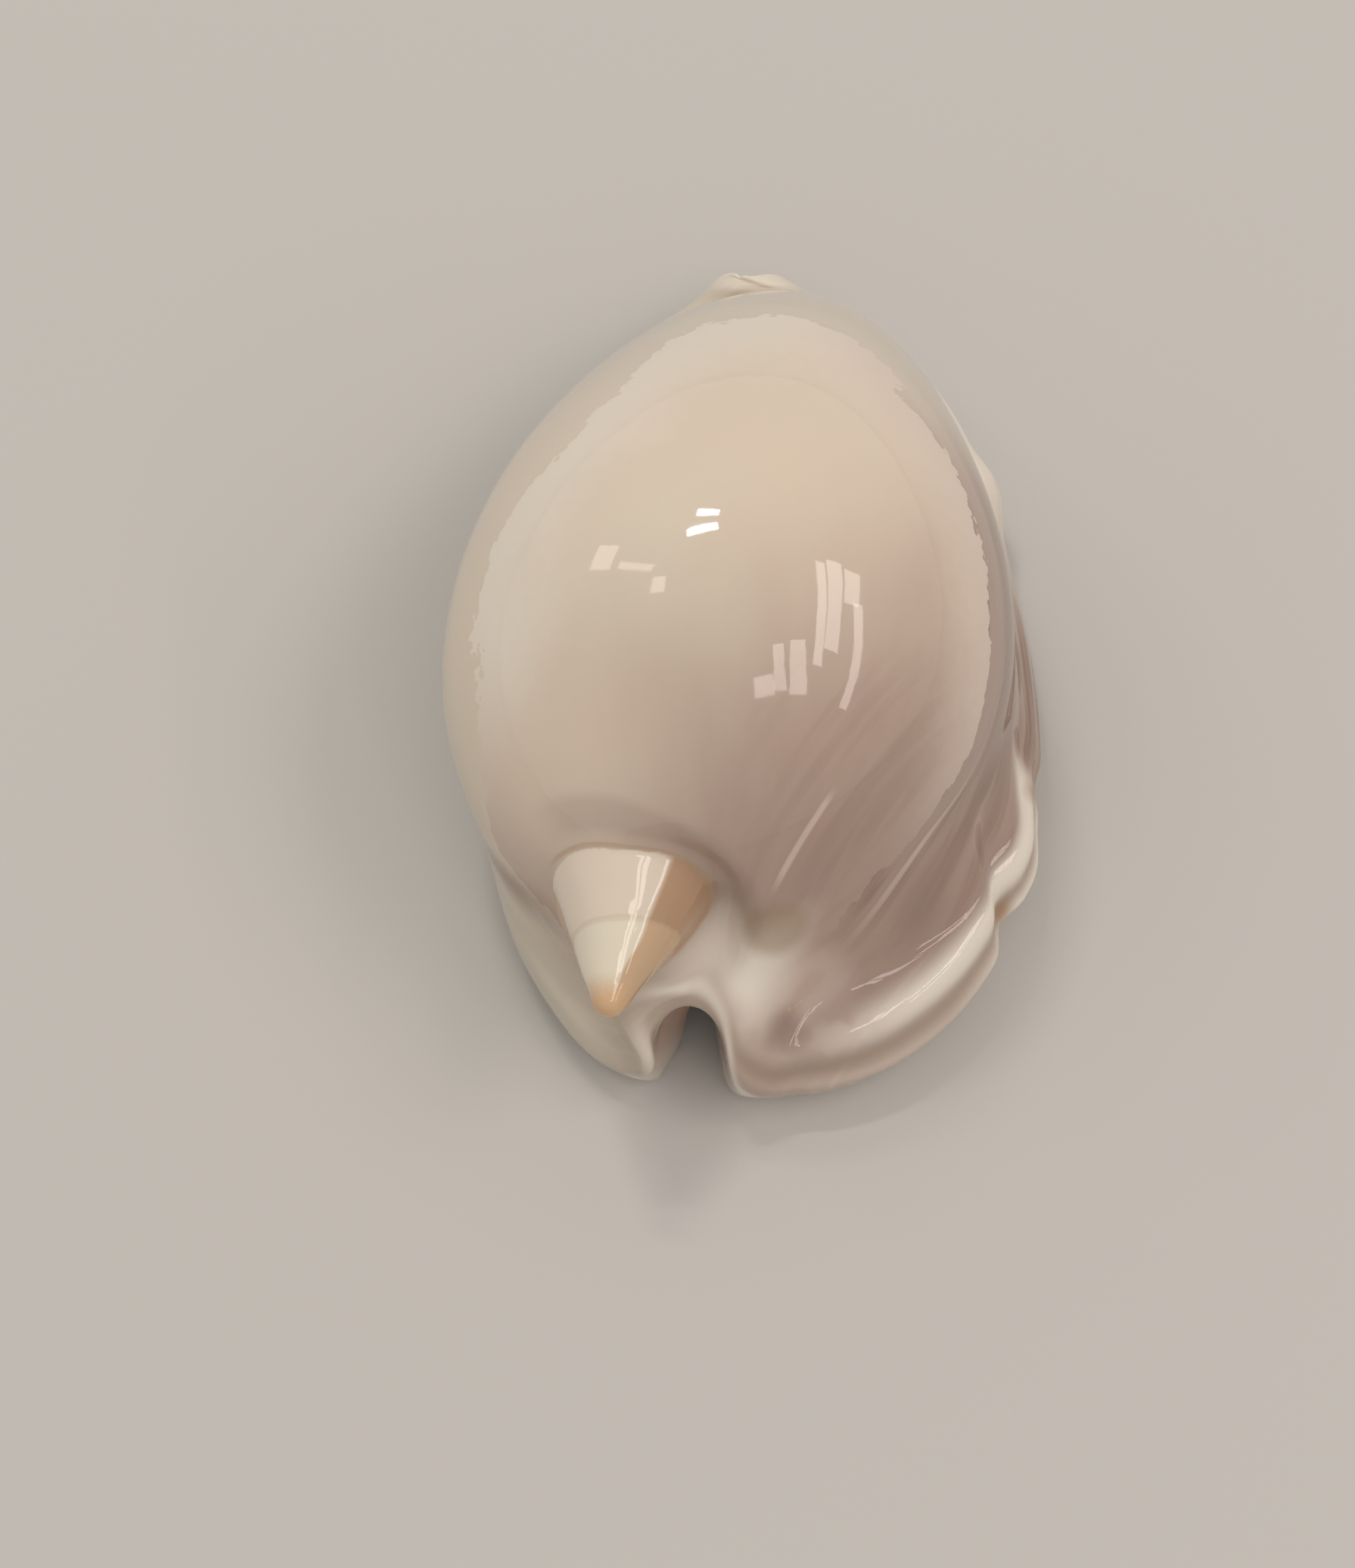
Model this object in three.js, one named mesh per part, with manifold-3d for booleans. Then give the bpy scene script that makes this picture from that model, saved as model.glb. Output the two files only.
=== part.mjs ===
// A cowrie shell with an exposed spire: one hollow body, open underneath through its long toothed slit.
// Millimetres, +Z up, resting on its base. +Y is the front end, +X the outer-lip side, and the spire
// points to -Y. The skin is one surface: control rings run from the top of the back, down over the
// flared margin, across the base, in through the slit and up again inside the wall, and a cubic
// B-spline carries the surface from ring to ring. Angles run round the shell in degrees, from +X.

import * as THREE from 'three';
import { ParametricGeometry } from 'three/addons/geometries/ParametricGeometry.js';
import { mergeVertices } from 'three/addons/utils/BufferGeometryUtils.js';
import Module from 'manifold-3d';

// ---- driving dimensions ----

const WALL = 1.3;

// The body whorl is a pear: a unit sphere (u to the side, v forward, w up) stretched and bent.
const BODY = {
  centre: [2.6, 5.5, 12.6],
  halfWidth: 18.7,
  halfLength: 28.1,
  rise: 17.2,          // height of the back above the widest line
  crown: 1.2,          // extra height at the very top
  taper: 0.30,         // narrowing towards the front
  sideBend: -1.8,
  topShift: -1.2,
  frontDrop: [3.8, 5.6],
  frontLow: [0.13, 0.19],
  tuck: 0.15,          // how far the outer-lip side draws in above the rear margin
  tuckAt: -55,
};

// The margin is an ovoid seen from above, with the ends of the slit cut into it.
const MARGIN = {
  endX: 0.48, sway: -1.75, bulge: 3.0,
  halfWidth: 18.0, taper: 0.178, square: 0.057,
  centreY: 3.17, halfLength: 30.28, waist: 0.77,
  height: 3.4,
};

// Waves of the margin: angle, half width in degrees, outward and upward in mm.
const WAVES = [
  [-128, 20, -0.5, 0], [-76, 5, -0.15, 0], [-33, 5.5, -0.9, 0], [-24, 7, 0.45, 0],
  [-13, 5, -0.4, 0], [29, 8, 0.6, 0.5], [40, 30, 0.5, 1.6], [83, 12, 0.5, 0], [98, 9, 0.4, 0],
];

const REAR_CANAL = { angle: -94.5, x: 0.15, y: -25.7, radius: 2.75, rise: 5.6 };
const FRONT_CANAL = { angle: 89.5, rise: 4.2, inset: 0.5 };

// The slit's middle line is x = a + b y + c y^2.
const SLIT = {
  line: [2.6, -0.0157, -0.00422],
  halfGap: 1.45,
  frontWider: 0.5,
  centreY: 2.6,
  halfLength: 25.2,
};
const LIP_HEIGHT = 1.7;

// The spire is a cone with a small round tip; its root runs on into the body. On its outer-lip side
// the body's skin is set back behind the cone's foot, as far as clearance out from it.
const SPIRE = {
  centre: new THREE.Vector3(-4.25, -17.4, 14.9),
  axis: new THREE.Vector3(-0.0523, -0.998, 0.0349).normalize(),
  radius: 5.45,
  height: 11.2,
  root: 0.9,
  tipRadius: 1.2,
  clearance: 3.5,
  clearSide: 28,
  segments: 36,
};

// Columns round the shell, and how much closer together they stand at the canals.
const COLUMNS = 84;
const CROWDING = 0.45;
// Rings down the back, rings inside, and the angle from straight up at which the back ends.
const BODY_RINGS = 10;
const INNER_RINGS = 7;
const BACK_END = 95;
// Ring numbers of the edge of the margin and of the slit's lip.
const EDGE_RING = BODY_RINGS + 6;
const LIP_RING = EDGE_RING + 11;

// ---- small functions ----

const rad = THREE.MathUtils.degToRad;
const { clamp, lerp } = THREE.MathUtils;

const wrap = (d) => THREE.MathUtils.euclideanModulo(d + 180, 360) - 180;

// 1 at 0, falling smoothly to 0 at 1 and beyond
const bell = (x) => Math.max(0, 1 - x * x) ** 3;

const step = (a, b, x) => THREE.MathUtils.smoothstep(x, a, b);

const mix = (a, b, t) => new THREE.Vector3().lerpVectors(a, b, t);

const atHeight = (p, z) => new THREE.Vector3(p.x, p.y, z);

// ---- outlines ----

// A point of the body whorl; polar is measured from straight up, inset goes into the wall.
function body(angle, polar, inset = 0) {
  const a = rad(angle);
  const p = rad(polar);
  const tuck = 1 - BODY.tuck * bell(wrap(angle - BODY.tuckAt) / 75) * Math.sin(p) ** 4;
  const u = Math.cos(a) * Math.sin(p);
  const v = Math.sin(a) * Math.sin(p);
  const w = Math.cos(p);
  const [cx, cy, cz] = BODY.centre;
  const [d1, d2] = BODY.frontDrop;
  const [l1, l2] = BODY.frontLow;
  const side = (BODY.halfWidth - inset) * u * tuck * (1 - BODY.taper * v);
  return new THREE.Vector3(
    cx + side + BODY.sideBend * u * u + BODY.topShift * w,
    cy + (BODY.halfLength - inset) * v * tuck,
    cz - d1 * v - d2 * v * v + (BODY.rise - inset) * w * (1 - l1 * v - l2 * v * v) + BODY.crown * w * w,
  );
}

// The margin before the canals are cut: an ovoid with its waves.
function ovoid(angle) {
  const c = Math.cos(rad(angle));
  const s = Math.sin(rad(angle));
  const k = 1 + MARGIN.square * (2 * c * s) ** 2;
  const point = new THREE.Vector3(
    MARGIN.endX + MARGIN.sway * s + MARGIN.bulge * c * c + MARGIN.halfWidth * c * (1 - MARGIN.taper * s) * k,
    MARGIN.centreY + MARGIN.halfLength * s * k + MARGIN.waist * c * c,
    MARGIN.height,
  );
  const outward = new THREE.Vector2(c / MARGIN.halfWidth, s / MARGIN.halfLength).normalize();
  for (const [at, half, out, lift] of WAVES) {
    const b = bell(wrap(angle - at) / half);
    point.x += outward.x * out * b;
    point.y += outward.y * out * b;
    point.z += lift * b;
  }
  return point;
}

// The margin: the ovoid drawn in round the rear canal's arc and lifted over both canals.
function margin(angle) {
  const point = ovoid(angle);
  const rear = wrap(angle - REAR_CANAL.angle);
  const front = wrap(angle - FRONT_CANAL.angle);
  const turn = rad(90 * clamp(rear / 5, -1, 1));
  const cut = 1 - step(4.2, 8.5, Math.abs(rear));
  point.x = lerp(point.x, REAR_CANAL.x + REAR_CANAL.radius * Math.sin(turn), cut);
  point.y = lerp(point.y, REAR_CANAL.y + REAR_CANAL.radius * Math.cos(turn), cut);
  point.y -= FRONT_CANAL.inset * bell(front / 9);
  point.z += REAR_CANAL.rise * bell(rear / (rear > 0 ? 17 : 14)) + FRONT_CANAL.rise * bell(front / 28);
  return point;
}

// The edge of the slit: two long lips that meet over the canals at either end.
function lip(angle) {
  const rear = wrap(angle - REAR_CANAL.angle);
  const front = wrap(angle - FRONT_CANAL.angle);
  const shift = (REAR_CANAL.angle + 90) * bell(rear / 90) + (FRONT_CANAL.angle - 90) * bell(front / 90);
  const along = rad(angle - shift);
  const c = Math.cos(along);
  const s = Math.sin(along);
  const y = SLIT.centreY + SLIT.halfLength * s;
  const side = c * Math.sqrt(1.01 / (c * c + 0.01));
  const gap = SLIT.halfGap + SLIT.frontWider * Math.max(0, s) ** 4;
  const [a, b, k] = SLIT.line;
  return new THREE.Vector3(
    a + b * y + k * y * y + gap * side,
    y,
    LIP_HEIGHT + 6.6 * bell(rear / 11) + 3.0 * bell(front / 14),
  );
}

// ---- one column of control points, from the top of the back to the roof inside ----

function column(angle) {
  const rear = wrap(angle - REAR_CANAL.angle);
  const front = wrap(angle - FRONT_CANAL.angle);
  const overRear = 1 - step(2, 9.5, Math.abs(rear));
  const overFront = 1 - step(6, 15, Math.abs(front));
  const arch = Math.min(1, overRear + overFront);
  const right = bell(wrap(angle + 45) / 75);
  const left = bell(wrap(angle - 180) / 100);
  const plate = bell(wrap(angle + 122) / 40) * (1 - overRear);
  const end = 100 + 8 * left - 25 * bell(wrap(angle + 75) / 85) - 32 * bell(front / 60);
  const polar = (t) => BACK_END * t + (end - BACK_END) * t ** 3;

  // columns fan out from the rear canal as they run up the body
  const fanned = REAR_CANAL.angle + rear + 15 * Math.tanh(rear / 5) * bell(rear / 80);
  const points = [];
  for (let i = 0; i <= BODY_RINGS; i++) {
    const t = i / BODY_RINGS;
    points.push(body(angle + wrap(fanned - angle) * t * t, polar(t)));
  }

  const edge = margin(angle);
  const inner = lip(angle);
  points.push(...callus(points.at(-1), edge, { right, left, plate, overRear, overFront }));
  points.push(...base(edge, inner, arch));
  points.push(...throat(inner, body(angle, polar(1) * 0.95, WALL + 1), arch));
  for (let i = INNER_RINGS; i >= 0; i--) {
    const t = i / INNER_RINGS;
    points.push(body(angle, polar(t) * 0.95, WALL + t * t));
  }
  return points;
}

// From the body out to the margin: a trough, then the rolled callus, then the thin edge.
function callus(from, edge, { right, left, plate, overRear, overFront }) {
  const rolled = right * (1 - overRear);
  const level = 1 - 0.55 * overFront;
  const trough = edge.z + (2.2 + 2.1 * rolled + 0.5 * overRear + 1.2 * left + 0.5 * plate) * level;
  const crest = edge.z + (1.2 + 3.0 * rolled + 0.3 * overRear + 0.4 * left + 0.7 * plate) * level;
  return [
    atHeight(mix(from, edge, 0.16), 0.62 * from.z + 0.38 * trough),
    atHeight(mix(from, edge, 0.40 + 0.04 * right), trough),
    atHeight(mix(from, edge, 0.64), (trough + crest) / 2 + 0.1 * right),
    atHeight(mix(from, edge, 0.82), crest),
    atHeight(mix(from, edge, 0.945), edge.z + 0.5 + 0.6 * rolled + 0.6 * plate),
    atHeight(mix(from, edge, 1.02), edge.z),
  ];
}

// Across the base, flat where it rests, to the slit; over the canals it arches instead.
function base(edge, inner, arch) {
  const heights = [
    [0.02, 2.1], [0.10, 1.2], [0.22, 0.35], [0.32, 0], [0.42, 0], [0.52, 0], [0.62, 0], [0.72, 0],
    [0.85, 0.1], [0.96, 0.7],
  ];
  const points = heights.map(([t, z]) => {
    const p = mix(edge, inner, t);
    return atHeight(p, lerp(z, p.z, arch));
  });
  return [...points, inner];
}

// Up through the slit and out along the inside of the wall.
function throat(inner, wall, arch) {
  return [
    atHeight(mix(inner, wall, 0.04), inner.z + 1.3),
    atHeight(mix(inner, wall, 0.25), lerp(4.2, inner.z + 1.2, arch)),
    atHeight(mix(inner, wall, 0.60), lerp(5.0, 0.5 * inner.z + 0.5 * wall.z, arch)),
    atHeight(mix(inner, wall, 0.90), lerp(6.4, 0.2 * inner.z + 0.8 * wall.z, arch)),
  ];
}

// ---- spire ----

// The tip is a ball that touches the cone all round.
function spireGeometry() {
  const lean = Math.atan2(SPIRE.radius, SPIRE.height);
  const ball = SPIRE.height - SPIRE.tipRadius / Math.sin(lean);
  const tip = new THREE.Path().absarc(0, ball, SPIRE.tipRadius, lean, rad(90), false);
  const flank = [0, 0.7, 1.4, 2.4, 4.0, 6.0].map(
    (h) => new THREE.Vector2(SPIRE.radius * (1 - h / SPIRE.height), h),
  );
  const profile = [
    new THREE.Vector2(0, -SPIRE.root),
    new THREE.Vector2(SPIRE.radius * 0.8, -SPIRE.root),
    ...flank,
    ...tip.getPoints(4).slice(0, -1),
    new THREE.Vector2(0, ball + SPIRE.tipRadius),
  ];
  const cone = new THREE.LatheGeometry(profile, SPIRE.segments);
  const turn = new THREE.Quaternion().setFromUnitVectors(new THREE.Vector3(0, 1, 0), SPIRE.axis);
  cone.applyQuaternion(turn);
  cone.translate(...SPIRE.centre.toArray());
  return closed(cone);
}

// Sets a point of the body's skin back behind the spire's foot; the inner skin lies depth further in.
function clearSpire(point, depth) {
  const rel = point.clone().sub(SPIRE.centre);
  const up = rel.dot(SPIRE.axis);
  const side = rel.addScaledVector(SPIRE.axis, -up);
  const r = side.length();
  const turn = THREE.MathUtils.radToDeg(Math.atan2(side.z, side.x));
  const window = 1 - step(35, 80, Math.abs(wrap(turn - SPIRE.clearSide)));
  const near = 1 - step(SPIRE.radius + 0.6, SPIRE.radius + SPIRE.clearance, r);
  const slope = -0.35 * Math.max(0, r - SPIRE.radius) - depth;
  const share = point.y < 0 ? window * near : 0;
  point.addScaledVector(SPIRE.axis, -clamp(up - slope, 0, 6) * share);
}

// ---- the surface ----

// Cubic B-spline weights, at a ring, of the ring itself and its two neighbours.
const RING_WEIGHTS = [1 / 6, 4 / 6, 1 / 6];

// Columns stand closer together at the two canals.
function columnAngle(i) {
  const t = i / COLUMNS;
  return REAR_CANAL.angle + 360 * t - (CROWDING * 360 / (4 * Math.PI)) * Math.sin(4 * Math.PI * t);
}

function shellGeometry() {
  const columns = [];
  for (let i = 0; i < COLUMNS; i++) {
    const near = column(columnAngle(i));
    const far = column(columnAngle(i) + 180);
    columns.push([far[1], ...near, far.at(-2)]);
  }
  const rows = columns[0].length - 3;

  const surface = (u, v, target) => {
    const row = Math.round(v * rows);
    const pole = row === 0 || row === rows;
    const points = columns[pole ? 0 : Math.round((1 - u) * COLUMNS) % COLUMNS];
    target.set(0, 0, 0);
    RING_WEIGHTS.forEach((w, k) => target.addScaledVector(points[row + k], w));
    if (row < EDGE_RING) clearSpire(target, 0);
    if (row > LIP_RING) clearSpire(target, WALL);
  };
  return closed(new ParametricGeometry(surface, COLUMNS, rows));
}

// Merges the seam and the poles and drops the triangles that this flattens.
function closed(geometry) {
  geometry.deleteAttribute('normal');
  geometry.deleteAttribute('uv');
  const merged = mergeVertices(geometry, 1e-4);
  const index = [];
  for (let i = 0; i < merged.index.count; i += 3) {
    const [a, b, c] = [0, 1, 2].map((k) => merged.index.getX(i + k));
    if (a !== b && b !== c && c !== a) index.push(a, b, c);
  }
  merged.setIndex(index);
  return merged;
}

// ---- joining ----

const wasm = await Module();
wasm.setup();

function toSolid(geometry) {
  return new wasm.Manifold(new wasm.Mesh({
    numProp: 3,
    vertProperties: new Float32Array(geometry.attributes.position.array),
    triVerts: new Uint32Array(geometry.index.array),
  }));
}

function toGeometry(solid) {
  const mesh = solid.getMesh();
  const geometry = new THREE.BufferGeometry();
  geometry.setAttribute('position', new THREE.BufferAttribute(mesh.vertProperties, 3));
  geometry.setIndex(new THREE.BufferAttribute(mesh.triVerts, 1));
  return geometry;
}

// ---- the part ----

const geometry = toGeometry(toSolid(shellGeometry()).add(toSolid(spireGeometry())));
geometry.computeBoundingBox();
const box = geometry.boundingBox;
geometry.translate(-(box.min.x + box.max.x) / 2, -(box.min.y + box.max.y) / 2, -box.min.z);
geometry.computeVertexNormals();

const shell = new THREE.Mesh(
  geometry,
  new THREE.MeshStandardMaterial({ color: 0xcfc0b0, roughness: 0.18, metalness: 0 }),
);
shell.name = 'shell';

const part = new THREE.Group();
part.add(shell);

export default part;
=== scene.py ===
"""A cowrie shell with an exposed spire, lying on its base on a pale floor.

The shell is one closed surface. Control rings run from the top of the back, down over the flared
margin, across the base, in through the slit and up again inside the wall, and a cubic B-spline
carries the surface from ring to ring. The rings' formulas are in millimetres, with angles in degrees
round the shell from +X (the outer-lip side); +Y is the front end and the spire points to -Y.
"""

from functools import reduce

import bpy
import numpy as np
from bpy.props import FloatProperty, FloatVectorProperty, IntProperty, PointerProperty, StringProperty
from mathutils import Matrix, Vector


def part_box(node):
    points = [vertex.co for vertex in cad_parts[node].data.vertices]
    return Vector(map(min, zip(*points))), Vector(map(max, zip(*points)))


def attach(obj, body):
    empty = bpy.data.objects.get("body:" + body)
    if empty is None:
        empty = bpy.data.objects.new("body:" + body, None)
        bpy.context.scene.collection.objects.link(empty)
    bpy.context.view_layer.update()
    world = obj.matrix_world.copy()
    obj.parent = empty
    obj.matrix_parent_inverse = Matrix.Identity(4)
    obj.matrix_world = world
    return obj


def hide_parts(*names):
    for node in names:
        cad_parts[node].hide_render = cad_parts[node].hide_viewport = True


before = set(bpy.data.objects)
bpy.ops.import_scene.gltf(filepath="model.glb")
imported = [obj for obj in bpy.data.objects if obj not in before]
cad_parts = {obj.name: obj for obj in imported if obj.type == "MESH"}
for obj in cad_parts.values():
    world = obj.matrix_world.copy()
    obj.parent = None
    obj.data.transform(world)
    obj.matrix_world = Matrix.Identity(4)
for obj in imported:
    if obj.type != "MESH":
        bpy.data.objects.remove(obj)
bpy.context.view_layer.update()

bl_info = {
    "name": "Cowrie shell",
    "version": (1, 0, 0),
    "blender": (4, 5, 0),
    "location": "View3D > Sidebar > Cowrie",
    "description": "Makes a glossy cowrie shell, its finish and its stage",
    "category": "Add Mesh",
}

NODE = "shell"
MM = 0.001

# ---- the shell's driving dimensions, in millimetres and degrees ----

WALL = 1.3
BODY = dict(centre=(2.6, 5.5, 12.6), half_width=18.7, half_length=28.1, rise=17.2, crown=1.2)
MARGIN = dict(end_x=0.48, half_width=18.0, centre_y=3.17, half_length=30.28, height=3.4)
# the margin's waves: angle and half width in degrees, then how far they go outward and upward
WAVES = (
    (-128, 20, -0.5, 0), (-76, 5, -0.15, 0), (-33, 5.5, -0.9, 0), (-24, 7, 0.45, 0), (-13, 5, -0.4, 0),
    (29, 8, 0.6, 0.5), (40, 30, 0.5, 1.6), (83, 12, 0.5, 0), (98, 9, 0.4, 0),
)
# the directions of the two canals
REAR = -94.5
FRONT = 89.5
REAR_ARC = dict(x=0.15, y=-25.7, radius=2.75)
SLIT = dict(line=(2.6, -0.0157, -0.00422), half_gap=1.45, centre_y=2.6, half_length=25.2)
# the base's rings: share of the way from the edge of the margin to the lip, and height
BASE = (
    (0.02, 2.1), (0.10, 1.2), (0.22, 0.35), (0.32, 0), (0.42, 0), (0.52, 0), (0.62, 0), (0.72, 0),
    (0.85, 0.1), (0.96, 0.7),
)
SPIRE = dict(centre=(-4.25, -17.4, 14.9), axis=(-0.0523, -0.998, 0.0349), radius=5.45, height=11.2)
SKIRT_SLOPE = 2.2
NUB = dict(radius=1.2, centre=8.45)
# the spire's seams: the second winding's radius, how fast it shrinks per degree, the tip's radius
SEAM = dict(radius=3.73, shrink=0.0013, tip_radius=1.5, width=0.2, swelling=0.8)
TOOTH_SPACING = 2.4
ARAGONITE_IOR = 1.6
# the middle of the shell in plan, in the formulas' axes
PLAN_MIDDLE = (2.01, 3.31)

BODY_RINGS = 10
INNER_RINGS = 7
BACK_END = 95.0
# ring numbers of the edge of the margin and of the slit's lip
EDGE_RING = BODY_RINGS + 6
LIP_RING = EDGE_RING + 11


# ---- small functions ----

def bell(x):
    """1 at 0, falling smoothly to 0 at 1 and beyond: (1 - x^2) cubed."""
    return np.clip(1 - np.square(x), 0, None) ** 3


def step(low, high, x):
    """0 below low, 1 above high, with a smooth cubic rise between them."""
    t = np.clip((x - low) / (high - low), 0, 1)
    return t * t * (3 - 2 * t)


def span(rise, fall, x):
    """1 in a span of x and 0 outside it: up over the first interval and down over the second."""
    return step(*rise, x) * (1 - step(*fall, x))


def wrap(degrees):
    """The same angle between -180 and 180."""
    return (degrees + 180.0) % 360.0 - 180.0


def mix(a, b, t):
    """The point at share t of the way from a to b."""
    return a + (b - a) * np.asarray(t)[..., None]


def at_height(points, z):
    """The same points moved up or down to the height z."""
    return np.stack(np.broadcast_arrays(points[..., 0], points[..., 1], z), -1)


def unit(v):
    """Vectors scaled to length 1."""
    return v / np.maximum(np.linalg.norm(v, axis=-1, keepdims=True), 1e-12)


# ---- the outlines ----

def from_canals(angle):
    """Degrees past the rear canal, and degrees past the front one."""
    return wrap(angle - REAR), wrap(angle - FRONT)


def over_canals(angle):
    """How far each column runs over the rear canal, and how far over the front one."""
    rear, front = from_canals(angle)
    return 1 - step(2, 9.5, np.abs(rear)), 1 - step(6, 15, np.abs(front))


def right_side(angle):
    """How far each column belongs to the outer-lip side."""
    return bell(wrap(angle + 45) / 75)


def left_side(angle):
    """How far each column belongs to the inner-lip side."""
    return bell(wrap(angle - 180) / 100)


def body(angle, polar, inset=0.0):
    """The body whorl, a pear. On a unit sphere u points to the side, v forward and w up. The sphere is
    stretched to the body's size, narrowed towards the front by 0.30 v, dropped at the front by
    3.8 v + 5.6 v^2, and drawn in by 0.15 above the rear of the outer-lip side."""
    a, p = np.radians(angle), np.radians(polar)
    tuck = 1 - 0.15 * bell(wrap(angle + 55) / 75) * np.sin(p) ** 4
    u, v, w = np.cos(a) * np.sin(p), np.sin(a) * np.sin(p), np.cos(p)
    cx, cy, cz = BODY["centre"]
    x = cx + (BODY["half_width"] - inset) * u * tuck * (1 - 0.30 * v) - 1.8 * u * u - 1.2 * w
    y = cy + (BODY["half_length"] - inset) * v * tuck
    z = cz - 3.8 * v - 5.6 * v * v + (BODY["rise"] - inset) * w * (1 - 0.13 * v - 0.19 * v * v)
    return np.stack(np.broadcast_arrays(x, y, z + BODY["crown"] * w * w), -1)


def margin(angle):
    """The margin: an ovoid with its waves, drawn in round the rear canal's arc and lifted over both
    canals."""
    c, s = np.cos(np.radians(angle)), np.sin(np.radians(angle))
    k = 1 + 0.057 * (2 * c * s) ** 2
    x = MARGIN["end_x"] - 1.75 * s + 3.0 * c * c + MARGIN["half_width"] * c * (1 - 0.178 * s) * k
    y = MARGIN["centre_y"] + MARGIN["half_length"] * s * k + 0.77 * c * c
    z = np.full_like(x, MARGIN["height"])
    outward = unit(np.stack((c / MARGIN["half_width"], s / MARGIN["half_length"]), -1))
    for at, half, out, lift in WAVES:
        b = bell(wrap(angle - at) / half)
        x, y, z = x + outward[..., 0] * out * b, y + outward[..., 1] * out * b, z + lift * b
    rear, front = from_canals(angle)
    turn = np.radians(90 * np.clip(rear / 5, -1, 1))
    cut = 1 - step(4.2, 8.5, np.abs(rear))
    x = x + (REAR_ARC["x"] + REAR_ARC["radius"] * np.sin(turn) - x) * cut
    y = y + (REAR_ARC["y"] + REAR_ARC["radius"] * np.cos(turn) - y) * cut - 0.5 * bell(front / 9)
    z = z + 5.6 * bell(rear / np.where(rear > 0, 17, 14)) + 4.2 * bell(front / 28)
    return np.stack((x, y, z), -1)


def lip(angle):
    """The edge of the slit: two long lips beside a gently curved middle line, which meet over the
    canals at either end."""
    rear, front = from_canals(angle)
    along = np.radians(angle - (REAR + 90) * bell(rear / 90) - (FRONT - 90) * bell(front / 90))
    c, s = np.cos(along), np.sin(along)
    y = SLIT["centre_y"] + SLIT["half_length"] * s
    a, b, k = SLIT["line"]
    gap = SLIT["half_gap"] + 0.5 * np.clip(s, 0, None) ** 4
    x = a + b * y + k * y * y + gap * c * np.sqrt(1.01 / (c * c + 0.01))
    return np.stack((x, y, 1.7 + 6.6 * bell(rear / 11) + 3.0 * bell(front / 14)), -1)


def polar_angle(t, end):
    """Degrees from straight up at share t of the way down a column that ends at the angle end."""
    return BACK_END * t + (end - BACK_END) * t ** 3


def back(angle, t):
    """The body whorl at share t of the way down each column. Columns fan out from the rear canal as
    they run up, and each ends at its own angle from straight up. Returns the points and that
    angle."""
    rear, front = from_canals(angle)
    end = 100 + 8 * left_side(angle) - 25 * bell(wrap(angle + 75) / 85) - 32 * bell(front / 60)
    fanned = REAR + rear + 15 * np.tanh(rear / 5) * bell(rear / 80)
    return body(angle + wrap(fanned - angle) * t * t, polar_angle(t, end)), end


def control_rings(angle):
    """The control rings as an array (ring, column, 3): back, callus, base, throat and inner wall."""
    right, left = right_side(angle), left_side(angle)
    over_rear, over_front = over_canals(angle)
    arch = np.minimum(1, over_rear + over_front)
    rings = [back(angle, i / BODY_RINGS)[0] for i in range(BODY_RINGS + 1)]
    end = back(angle, 1.0)[1]
    edge, inner, last = margin(angle), lip(angle), rings[-1]
    z = edge[..., 2]

    # from the body a trough, then the rolled callus, then the thin edge
    rolled, level = right * (1 - over_rear), 1 - 0.55 * over_front
    plate = bell(wrap(angle + 122) / 40) * (1 - over_rear)
    trough = z + (2.2 + 2.1 * rolled + 0.5 * over_rear + 1.2 * left + 0.5 * plate) * level
    crest = z + (1.2 + 3.0 * rolled + 0.3 * over_rear + 0.4 * left + 0.7 * plate) * level
    rings += [
        at_height(mix(last, edge, 0.16), 0.62 * last[..., 2] + 0.38 * trough),
        at_height(mix(last, edge, 0.40 + 0.04 * right), trough),
        at_height(mix(last, edge, 0.64), (trough + crest) / 2 + 0.1 * right),
        at_height(mix(last, edge, 0.82), crest),
        at_height(mix(last, edge, 0.945), z + 0.5 + 0.6 * rolled + 0.6 * plate),
        at_height(mix(last, edge, 1.02), z),
    ]
    # the base, flat where it rests, arched over the canals
    for t, h in BASE:
        p = mix(edge, inner, t)
        rings.append(at_height(p, h + (p[..., 2] - h) * arch))
    rings.append(inner)
    # up through the slit and out along the inside of the wall
    lz, wall = inner[..., 2], body(angle, end * 0.95, WALL + 1)
    rise = wall[..., 2] - lz
    rings.append(at_height(mix(inner, wall, 0.04), lz + 1.3))
    for t, low, arched in ((0.25, 4.2, lz + 1.2), (0.60, 5.0, lz + rise * 0.5), (0.90, 6.4, lz + rise * 0.8)):
        rings.append(at_height(mix(inner, wall, t), low + (arched - low) * arch))
    for i in range(INNER_RINGS, -1, -1):
        t = i / INNER_RINGS
        rings.append(body(angle, 0.95 * polar_angle(t, end), WALL + t * t))
    return np.array(rings)


# ---- the fine surface ----

def spline_weights(rows, count):
    """Cubic B-spline weights of each row on the control rings, which have one more ring beyond each
    end."""
    first = np.clip(np.floor(rows).astype(int), 0, count - 2)
    t = rows - first
    basis = ((1 - t) ** 3, 3 * t ** 3 - 6 * t * t + 4, -3 * t ** 3 + 3 * t * t + 3 * t + 1, t ** 3)
    weights = np.zeros((len(rows), count + 2))
    for k, b in enumerate(basis):
        weights[np.arange(len(rows)), first + k] += b / 6
    return weights


def spire_frame(points):
    """The spire's axis, and for each point its height along the axis, its sideways vector from it
    and its distance from it."""
    axis = unit(np.array(SPIRE["axis"]))
    rel = points - np.array(SPIRE["centre"])
    up = rel @ axis
    side = rel - up[..., None] * axis
    return axis, up, side, np.linalg.norm(side, axis=-1)


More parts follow.
